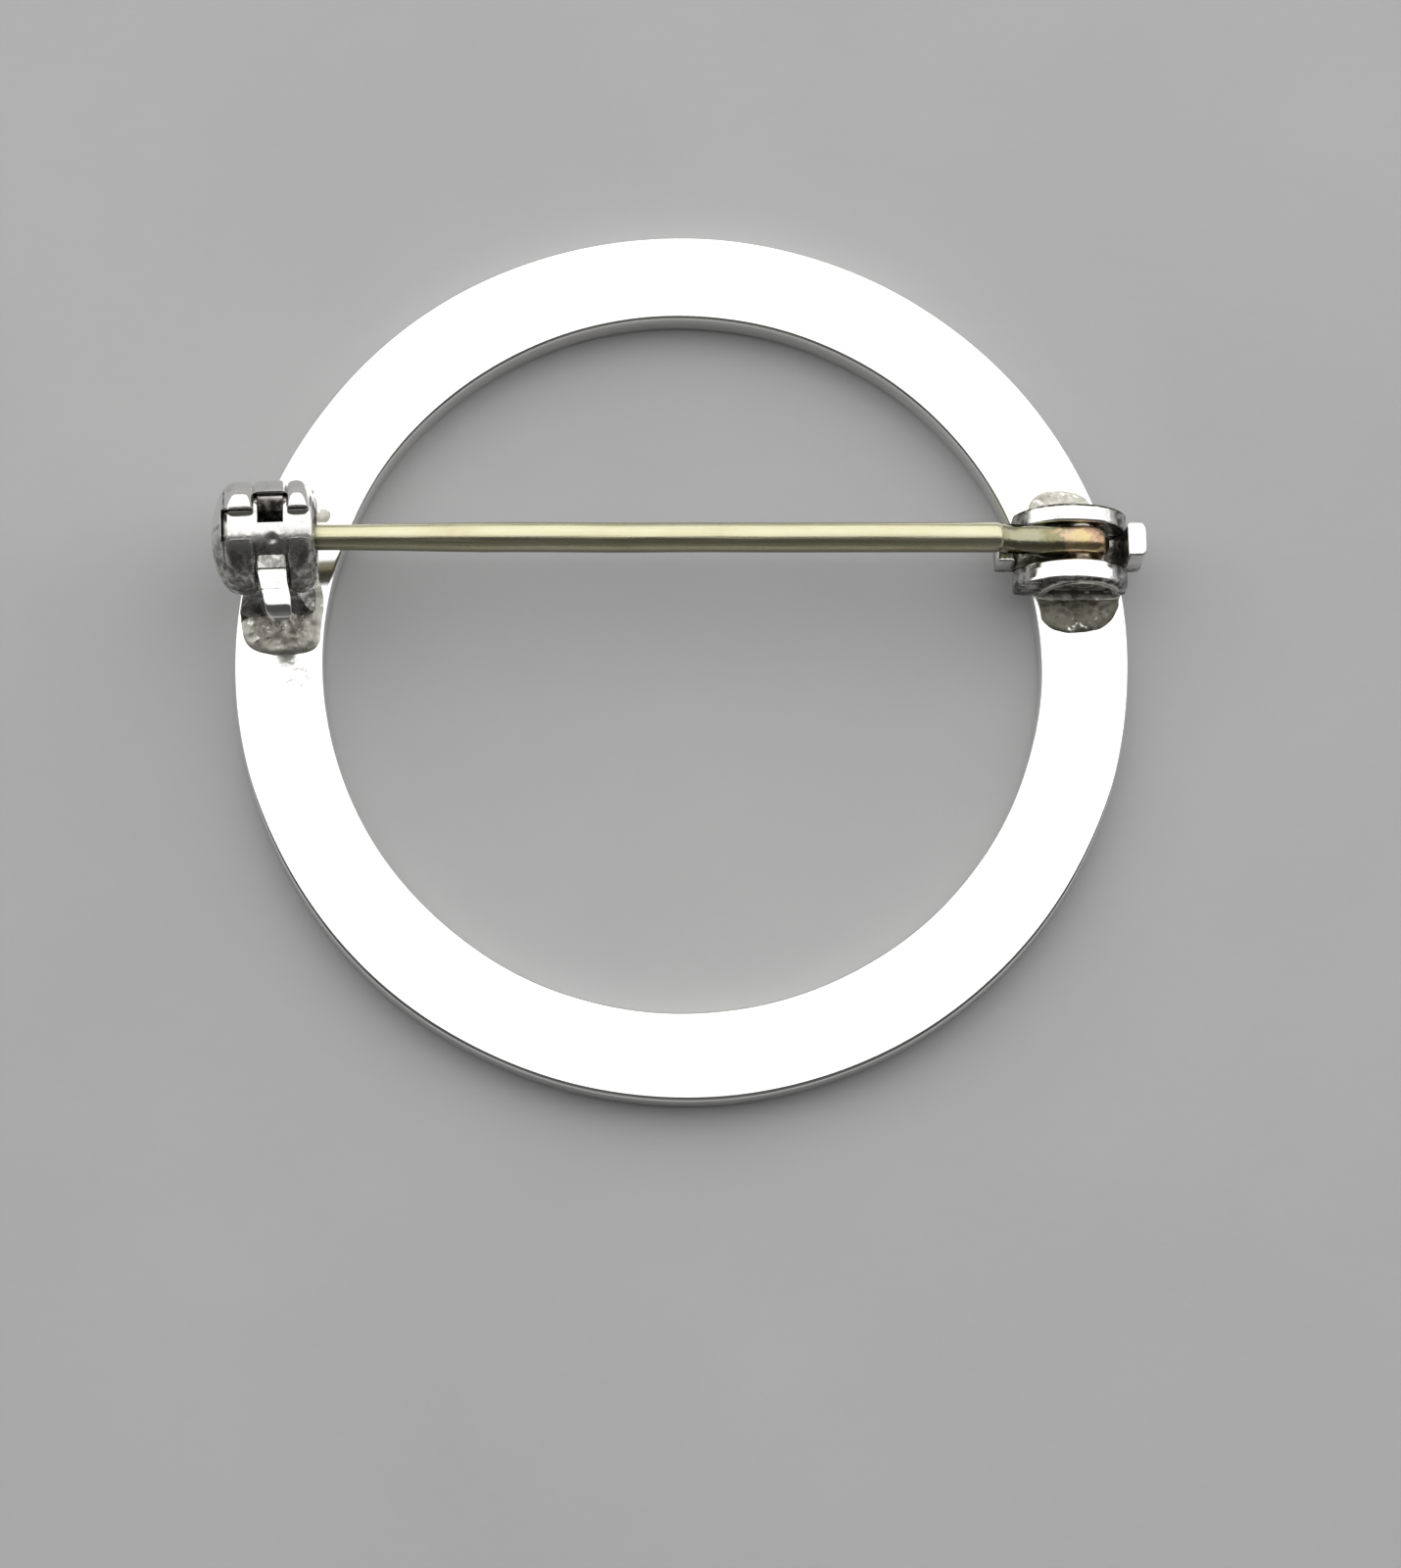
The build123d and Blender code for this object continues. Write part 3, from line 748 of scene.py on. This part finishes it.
def catch_foot():
    """The catch's foot: a rounded pad that spreads towards the ring as e to the minus height.
    Its lowest rows are kept over the ring; higher up it narrows and enters the barrel."""
    height = np.array([-2.3, -2.2, -2.17, -2.14, -2.1, -2.05, -1.98, -1.9, -1.8, -1.7, -1.6, -1.45,
                       -1.2, -0.9])
    left, right, front, back, ring_back = -1.22, 1.58, -2.2, 2.1, -2.2
    spread = 0.1 * np.exp(-(height - ring_back).clip(0) / 0.06)
    draw = 0.62 * smooth(height, -2.06, -1.55)
    pad = [(left, front), (right, front), (right, back), (left, back)]
    flat = outline(pad, [0.3] * 4, draw - spread, 40)
    points = placed(lying(flat, height), CATCH)
    free = smooth(height, -2.0, -1.5)[:, None, None]
    grid = over_the_ring(points) * (1 - free) + points * free
    wear = ripple(grid, 41, 0.7 * MM)[..., None] * [0.015, 0.015, 0.004] * MM
    return skin("catch_foot", grid + wear, WORLD, FOOT_LOOK)


def solder(name, place, centre, half_size, height, seed, look, square=2.4):
    """A solder mound, in millimetres: its rim is a rounded square, one over the sum of the sine's
    and the cosine's powers, a little ragged. The height falls from its middle as a power of one
    less the squared share of the radius, under lumps and grains; its underside is in the ring."""
    rim_sunk, root_sunk = 0.012 * MM, 0.12 * MM
    share = (np.linspace(0, 1, 96) ** 0.85)[:, None]
    angle = np.linspace(0, 2 * math.pi, 360, endpoint=False)[None, :]
    circle = np.stack([np.cos(angle), np.sin(angle), 0 * angle], -1)
    rim = (np.abs(np.cos(angle)) ** square + np.abs(np.sin(angle)) ** square) ** (-1 / square)
    rim = rim * (1 + 0.018 * ripple(circle, seed, 1.3) + 0.006 * ripple(circle, seed + 1, 0.35))
    x = (centre[0] + half_size[0] * share * rim * np.cos(angle)) * MM
    y = (centre[1] + half_size[1] * share * rim * np.sin(angle)) * MM
    top = over_the_ring(placed(np.stack([x, y, 0 * x], -1), place))
    lumps = 1 + 0.14 * ripple(top, seed + 2, 0.8 * MM)
    grains = (0.012 * ripple(top, seed + 3, 0.38 * MM) + 0.002 * ripple(top, seed + 4, 0.16 * MM)
              + 0.02 * np.maximum(ripple(top, seed + 5, 0.3 * MM) - 1.1, 0)) * min(1, height / 0.2)
    fall = (1 - share**2) ** 0.45
    distance = np.linalg.norm(top[..., :2], axis=-1)
    shelf = smooth(distance, RING_INNER + 0.1 * MM, RING_INNER + 0.45 * MM)
    shelf = shelf * smooth(distance, RING_OUTER - 0.1 * MM, RING_OUTER - 0.45 * MM)
    rise = (height * lumps * (0.35 + 0.65 * shelf) + grains * smooth(1 - share, -0.05, 0.08)) * fall
    top[..., 2] = BACK - rim_sunk + np.maximum(rise, 0) * MM
    under = top[::-1].copy()
    under[..., 2] = BACK - root_sunk
    return skin(name, np.concatenate([top, under]), WORLD, look)


def lever_sleeve():
    """The slotted sleeve: two sheets about X, open along the slot and round a window, rounded
    at both ends, with a small struck dimple beside the window."""
    counts = (74, 18, 34)

    def angles(radius):
        """The slot's two sides and the window's, for each radius."""
        half = np.degrees(np.arcsin(THROAT_HALF / radius))
        window = [360 + angle + 0 * radius for angle in WINDOW_ANGLES]
        return [SLOT_ANGLE + half, *window, SLOT_ANGLE + 360 - half]

    ends = [(SLEEVE_RIGHT, WINDOW_RIGHT, 20), (WINDOW_RIGHT, WINDOW_LEFT, 11), (WINDOW_LEFT, SLEEVE_LEFT, 18)]
    along = np.concatenate([np.linspace(a, b, n, endpoint=False) for a, b, n in ends] + [[SLEEVE_LEFT]])
    right_round = 0.2 * MM * ((along / MM - 1.45).clip(0) / 0.25) ** 2.5
    left_round = 0.18 * MM * ((-1.1 - along / MM).clip(0) / 0.2)
    radius = SLEEVE_OUTER - right_round - left_round
    outer = tube_sheet(along, radius, angles(radius), counts)
    inner = tube_sheet(along, 0 * along + SLEEVE_INNER, angles(0 * along + SLEEVE_INNER), counts)
    struck, dimple_width, dimple_depth = math.radians(109), 0.12 * MM, 0.05 * MM
    dimple = 0.32 * MM, SLEEVE_OUTER * math.cos(struck), SLEEVE_OUTER * math.sin(struck)
    gap = np.linalg.norm(outer - np.array(dimple), axis=-1, keepdims=True) / dimple_width
    outer = outer - unit(outer * [0, 1, 1]) * dimple_depth * np.exp(-gap**2)
    keep = np.ones((len(along) - 1, sum(counts)), bool)
    window_row, window_column = ends[0][2], counts[0]
    keep[window_row:window_row + ends[1][2], window_column:window_column + counts[1]] = False
    piece = shell("lever_sleeve", outer, inner, keep, CATCH, SLEEVE_LOOK)
    return bevelled(piece, 0.025 * MM)


def rounded_off(value, start, length):
    """A quarter circle's fall, as a share of its radius: 0 up to a start, nearly 1 a length on."""
    return 1 - np.sqrt(1 - ((value - start).clip(0) / length).clip(0, 0.97) ** 2)


def squared(angle, power):
    """A circle's cosine and sine, each drawn towards 1 by a power below 1, so that it is squarer."""
    one = np.sign(np.cos(angle)) * np.abs(np.cos(angle)) ** power
    two = np.sign(np.sin(angle)) * np.abs(np.sin(angle)) ** power
    return one, two


def lever_tab():
    """The finger tab: a rounded section carried out along -Y from inside the sleeve, with a
    slanting left edge. Its top falls to the tip as a quarter of an ellipse, over a level
    underside, and both corners of the tip are rounded off."""
    tip, start = LEVER_REACH / MM, -2.46
    y = np.concatenate([np.linspace(LEVER_ROOT / MM, start, 64),
                        start + (tip - start) * np.sin(np.linspace(0, math.pi / 2, 22))[1:]])
    left = np.interp(y, [-3.1, -2.6, -1.45, LEVER_ROOT / MM], [0.1, 0.0, -0.235, -0.235])
    left = left + 0.3 * rounded_off(-y, 2.7, 0.35)
    right = 0.765 + 0.1 * smooth(-y, 1.7, 2.5) - 0.14 * rounded_off(-y, 2.88, 0.17)
    end = np.sqrt(1 - ((start - y).clip(0) / (start - tip + 0.002)) ** 2)
    root_line, kink_line, line_width = 1.43, 2.12, 0.03
    root = 0.025 * np.exp(-(((-y - root_line) / line_width) ** 2)) - 0.095 * (y + 1.42).clip(0)
    kink = 0.014 * np.exp(-(((-y - kink_line) / line_width) ** 2)) + 0.02 * smooth(-y, 2.1, 2.4)
    low = LEVER_LOW / MM + 0 * y
    high = low + (LEVER_HIGH - LEVER_LOW) / MM * (0.1 + 0.9 * end) - kink - root
    middle_z, half_z = (high + low) / 2, (high - low) / 2
    middle_x, half_x = (left + right) / 2, (right - left) / 2
    angle = np.linspace(0, 2 * math.pi, 96, endpoint=False)[None, :]
    one, two = squared(angle, 0.25)
    grid = np.stack([middle_x[:, None] + half_x[:, None] * one, y[:, None] + 0 * angle,
                     middle_z[:, None] + half_z[:, None] * two], -1) * MM
    return creased(skin("lever_tab", grid, CATCH, LEVER_LOOK), 50)


# Hinge

def ear_outline(inset):
    """The ear's outline in X and Z: an arch of its radius less the inset, two upright sides
    drawn in by the inset, and a foot on the ring."""
    inset = inset * MM
    half, radius = EAR_HALF - inset, EAR_ARCH - inset
    corner = math.acos(half / radius)
    angle = np.linspace(corner, math.pi - corner, 130)
    shoulder, foot = radius * math.sin(corner) + EAR_ARCH_Z, HINGE_BASE + inset / 2
    down, along = np.linspace(0, 1, 13)[1:], np.linspace(-1, 1, 41)[1:-1]
    x = np.concatenate([radius * np.cos(angle), -half + 0 * down, half * along, half + 0 * down])
    z = np.concatenate([radius * np.sin(angle) + EAR_ARCH_Z, shoulder + (foot - shoulder) * down,
                        foot + 0 * along, foot + (shoulder - foot) * down])
    return np.stack([x + EAR_CENTRE, z], -1)


def arch_outline(half, rise, foot):
    """A half ellipse over a level foot, so wide each way and so high, with as many points as
    the ear's outline has."""
    middle = ARCH_MIDDLE / MM
    angle = np.linspace(-0.16, math.pi + 0.16, 154)[1:-1]
    x = half * np.cos(angle) + middle
    z = foot + rise * np.sin(angle).clip(0)
    along = np.linspace(-1, 1, 43)[1:-1] * half + middle
    x, z = np.concatenate([x, along]), np.concatenate([z, foot + 0 * along])
    return np.roll(np.stack([x, z], -1) * MM, -11, 0)


def hinge_ear(name, side, inner, outer, seed):
    """A round-topped ear on one side of the rivet's middle, -1 in front and 1 behind, between
    two distances in millimetres: its outline goes from the bore out over the inner face, round
    the edge, in over the outer face, up a raised arch, down into the pocket and back to the bore."""
    rounded_edge = [(inner, 0.35), (inner, 0.1), (inner + 0.012, 0.05), (inner + 0.04, 0.015),
                    (inner + 0.09, 0.0), (inner + 0.25, 0.0), (outer - 0.25, 0.0), (outer - 0.16, 0.0),
                    (outer - 0.115, 0.012), (outer - 0.085, 0.035), (outer - 0.065, 0.07),
                    (outer - 0.055, 0.11)]
    raised_arch = [(outer - 0.06, 1.43, 1.99, -1.19), (outer - 0.06, 1.4, 1.95, -1.185),
                   (outer - 0.05, 1.385, 1.93, -1.18), (outer - 0.035, 1.36, 1.9, -1.17),
                   (outer - 0.02, 1.34, 1.88, -1.16), (outer - 0.01, 1.32, 1.85, -1.15),
                   (outer, 1.28, 1.8, -1.14), (outer, 1.17, 1.64, -1.13), (outer - 0.015, 1.13, 1.6, -1.12),
                   (outer - 0.06, 1.11, 1.57, -1.11), (outer - 0.13, 1.1, 1.55, -1.1),
                   (outer - 0.17, 1.07, 1.52, -1.09), (outer - 0.18, 1.0, 1.43, -1.07)]
    flat = [ear_outline(inset) for _, inset in rounded_edge]
    flat += [arch_outline(*shape) for _, *shape in raised_arch]
    across = [row[0] for row in rounded_edge + raised_arch]
    bore = flat[-1] / np.linalg.norm(flat[-1], axis=-1, keepdims=True) * EAR_BORE
    flat = np.stack([bore * 1.05, *flat, bore * 1.06, bore, bore])
    across = np.array([inner, *across, outer - 0.18, outer - 0.21, inner + 0.03]) * side
    grid = standing(flat, across)
    wear = ripple(grid, seed, 1.4 * MM)[..., None] * [0, 0.006, 0.006] * MM
    return skin(name, grid + wear, HINGE, EAR_LOOK, wrap_rows=True)


def hinge_arch():
    """The bead round the front ear's pocket: a flat rounded section carried along half an
    ellipse, thinner towards both of its feet."""
    half, rise, foot, width, front, thick = 1.22, 1.72, -1.14, 0.1, -1.44, 0.05
    along = np.linspace(-0.02, math.pi + 0.02, 150)[:, None]
    angle = np.linspace(0, 2 * math.pi, 32, endpoint=False)[None, :]
    thin = 0.45 + 0.55 * np.sin(along).clip(0) ** 0.7
    outwards = unit(np.concatenate([np.cos(along) / half, np.sin(along) / rise], -1))
    side = width * thin * np.cos(angle)
    x = half * np.cos(along) + ARCH_MIDDLE / MM + outwards[:, :1] * side
    z = foot + rise * np.sin(along) + outwards[:, 1:] * side
    y = front - thick * np.sin(angle) - thick * np.cos(angle) * np.sin(along)
    grid = np.stack([x, y, z], -1) * MM
    grid = grid + ripple(grid, 28, 0.5 * MM)[..., None] * [0.004, 0.006, 0.004] * MM
    return skin("hinge_arch", grid, HINGE, LIGHT_SOLDER_LOOK)


def hinge_ledge():
    """The bead at the front ear's foot: a rounded section carried along X, drawn in at both
    ends as a circle is, a little uneven."""
    middle_x, middle_y, middle_z = -0.03, -1.48, -1.12
    half_x, half_y, half_z = 1.4, 0.13, 0.07
    share = np.linspace(-1, 1, 90)[:, None]
    angle = np.linspace(0, 2 * math.pi, 40, endpoint=False)[None, :]
    end = (1 - np.abs(share) ** 9).clip(0.001) ** 0.5
    lump = 1 + 0.25 * np.sin(share * 4.1 + 0.7) * np.abs(share)
    x = middle_x + half_x * share + 0 * angle
    one, two = squared(angle, 0.5)
    y = middle_y + half_y * end * one
    z = middle_z + half_z * end * lump * two
    grid = np.stack([x, y, z], -1) * MM
    grid = grid + ripple(grid, 27, 0.45 * MM)[..., None] * [0, 0.01, 0.008] * MM
    return skin("hinge_ledge", grid, HINGE, LIGHT_SOLDER_LOOK)


def hinge_strip():
    """The strip under the ears with a lug turned up at each end: one outline in X and Z
    carried across Y, drawn in towards both sides, with the back lug's end rounded off."""
    half, left, right, rounding_from, rounding = STRIP_HALF / MM, -2.87, 2.11, 1.75, 0.13
    corners = [(left, -1.22), (right, -1.22), (right, 0.85), (1.45, 0.85), (1.45, -0.95), (-2.25, -0.95),
               (-2.25, 0.17), (left, 0.17)]
    radii = [0.1, 0.1, 0.12, 0.12, 0.5, 0.2, 0.14, 0.16]
    turn = np.linspace(-1, 1, 21)
    inset = 0.1 * (1 - np.sqrt(1 - np.abs(turn) ** 5))
    across = half * np.sign(turn) * (1 - (1 - np.abs(turn)) ** 1.6)
    flat = outline(corners, radii, inset, 7)
    grid = standing(flat, across)
    end = smooth(grid[..., 0], rounding_from * MM, right * MM) * (np.abs(across) / half)[:, None] ** 6
    grid[..., 0] -= rounding * MM * end
    return creased(skin("hinge_strip", grid, HINGE, STRIP_LOOK), 50)


def rivet():
    """The hinge rivet: a shank with a low domed head at each end, turned about Y."""
    head = np.array([(1.42, 0.0), (1.418, 0.12), (1.405, 0.26), (1.38, 0.36), (1.35, 0.43), (1.31, 0.465),
                     (1.24, 0.47), (1.2, 0.46), (1.195, 0.35), (0.9, 0.35), (0.5, 0.35)])
    back_nearer = 0.13
    profile = np.concatenate([head - [back_nearer, 0], (head * [-1, 1])[::-1]]) * MM
    return bevelled(turned("rivet", profile, "Y", HINGE, RIVET_LOOK, columns=56), 0.02 * MM, angle=50)


# Pin

def pin_head():
    """The pin's head: a side outline of neck, crown and round end, carried across Y and drawn
    in near both sides as a squared circle's edge is, so that its back is gently crowned."""
    corners = [(-2.98, 0.54), (-2.3, 0.52), (-0.28, -0.89), (0.9, -0.89), (0.9, 1.02), (-2.24, 1.08),
               (-2.98, 1.485)]
    radii = [0.05, 0.2, 0.85, 0.88, 0.8, 0.3, 0.12]
    crown, power = 0.42, 2.1
    share = np.sin(np.linspace(-math.pi / 2, math.pi / 2, 45))
    inset = crown * (1 - (1 - 0.998 * np.abs(share) ** power) ** (1 / power))
    flat = outline(corners, radii, inset, 14)
    return creased(skin("pin_head", standing(flat, HEAD_HALF / MM * share), HINGE, HEAD_LOOK), 55)


def pin_wire():
    """The pin's wire: a circle carried along X, its radius from a list of places, with a
    trace of unevenness, ending in a point."""
    places = np.array([(-2.66, 0.1), (-2.7, 0.3), (-2.75, 0.4), (-2.82, 0.465), (-2.9, 0.492), (-3.0, 0.502),
                       (-4.2, 0.5), (-20.01, 0.5), (-24.51, 0.425), (-26.96, 0.425), (-27.6, 0.34),
                       (-28.2, 0.19), (-28.5, 0.09), (-28.56, 0.03)])
    along = np.concatenate([np.linspace(-2.66, -3.0, 30), np.linspace(-3.1, -26.9, 180),
                            np.linspace(-26.96, -28.56, 26)])
    radius = np.interp(-along, -places[:, 0], places[:, 1])
    profile = np.stack([along, radius], -1) * MM

    def sway(grid):
        """Lifts the wire to the pin's height and leaves it very slightly uneven."""
        return grid + [0, 0, PIN_RISE] + ripple(grid, 31, 5.0 * MM)[..., None] * [0, 0.003 * MM, 0.003 * MM]

    return turned("pin_wire", profile, "X", HINGE, WIRE_LOOK, columns=48, sway=sway)


ring()
catch_barrel()
catch_foot()
solder("catch_solder_front", CATCH, centre=(0.43, -2.0), half_size=(1.36, 1.42), height=0.3, seed=11,
       look=LIGHT_SOLDER_LOOK, square=3.8)
solder("catch_solder_back", CATCH, centre=(1.8, 1.33), half_size=(0.34, 0.26), height=0.03, seed=12,
       look=LIGHT_SOLDER_LOOK)
lever_sleeve()
lever_tab()
hinge_ear("hinge_ear_front", side=-1, inner=0.69, outer=1.45, seed=21)
hinge_ear("hinge_ear_back", side=1, inner=0.6, outer=1.28, seed=22)
hinge_arch()
hinge_ledge()
hinge_strip()
solder("hinge_solder_front", HINGE, centre=(-0.04, -1.42), half_size=(1.42, 1.25), height=0.16, seed=15,
       look=PAINTED_SHADE_SOLDER_LOOK)
solder("hinge_solder_back", HINGE, centre=(-0.57, 1.4), half_size=(1.1, 0.9), height=0.08, seed=16,
       look=LIGHT_SOLDER_LOOK)
rivet()
pin_head()
pin_wire()


# Floor, light and camera

def floor():
    """A wide, pale board just under the ring."""
    half, level = 1.5, -0.004 * MM
    mesh = bpy.data.meshes.new("floor")
    corners = [(-half, -half, level), (half, -half, level), (half, half, level), (-half, half, level)]
    mesh.from_pydata(corners, [], [(0, 1, 2, 3)])
    mesh.materials.append(pale_board())
    board = bpy.data.objects.new("floor", mesh)
    bpy.context.collection.objects.link(board)


def softbox(name, rise, depth, watts):
    """A long, soft lamp behind the ring, so many degrees above the floor, aimed at its middle
    and out of the camera's sight."""
    spot = (0, LAMP_DISTANCE * math.cos(math.radians(rise)), LAMP_DISTANCE * math.sin(math.radians(rise)))
    lamp = bpy.data.lights.new(name, "AREA")
    lamp.shape = "RECTANGLE"
    lamp.size, lamp.size_y = LAMP_WIDTH, depth
    lamp.energy = watts
    holder = bpy.data.objects.new(name, lamp)
    holder.location = spot
    holder.rotation_mode = "QUATERNION"
    holder.rotation_quaternion = (-Vector(spot)).to_track_quat("-Z", "Y")
    holder.visible_camera = False
    bpy.context.collection.objects.link(holder)


def studio():
    """One long softbox behind and above with a lower one under it, in a dim room that is lighter
    low behind and in front."""
    for lamp in LAMPS:
        softbox(*lamp)
    room = bpy.data.worlds.new("room")
    room.use_nodes = True
    tree = room.node_tree
    split = tree.nodes.new("ShaderNodeSeparateXYZ")
    tree.links.new(tree.nodes.new("ShaderNodeTexCoord").outputs["Generated"], split.inputs["Vector"])
    depth = ranged(tree, split.outputs["Y"], -1.0, 1.0, 0.0, 1.0, "LINEAR")
    walls = colours(tree, depth, ROOM_SHADES)
    tree.links.new(walls, tree.nodes["Background"].inputs["Color"])
    bpy.context.scene.world = room
    bpy.context.scene.view_settings.view_transform = "Standard"


def camera():
    """The photograph's view: from above, tipped a little towards the lower edge."""
    lens = bpy.data.cameras.new("camera")
    lens.lens = CAMERA_LENS
    lens.sensor_width = CAMERA_SENSOR
    lens.clip_start = 0.01
    lens.clip_end = 10
    holder = bpy.data.objects.new("camera", lens)
    spot, aim = Vector(CAMERA_SPOT) * MM, Vector(CAMERA_AIM) * MM
    forward = (aim - spot).normalized()
    right = forward.cross(Vector((0, 1, 0))).normalized()
    axes = Matrix((right, right.cross(forward), -forward)).transposed().to_4x4()
    holder.matrix_world = Matrix.Translation(spot) @ axes
    bpy.context.collection.objects.link(holder)
    bpy.context.scene.camera = holder


floor()
studio()
camera()
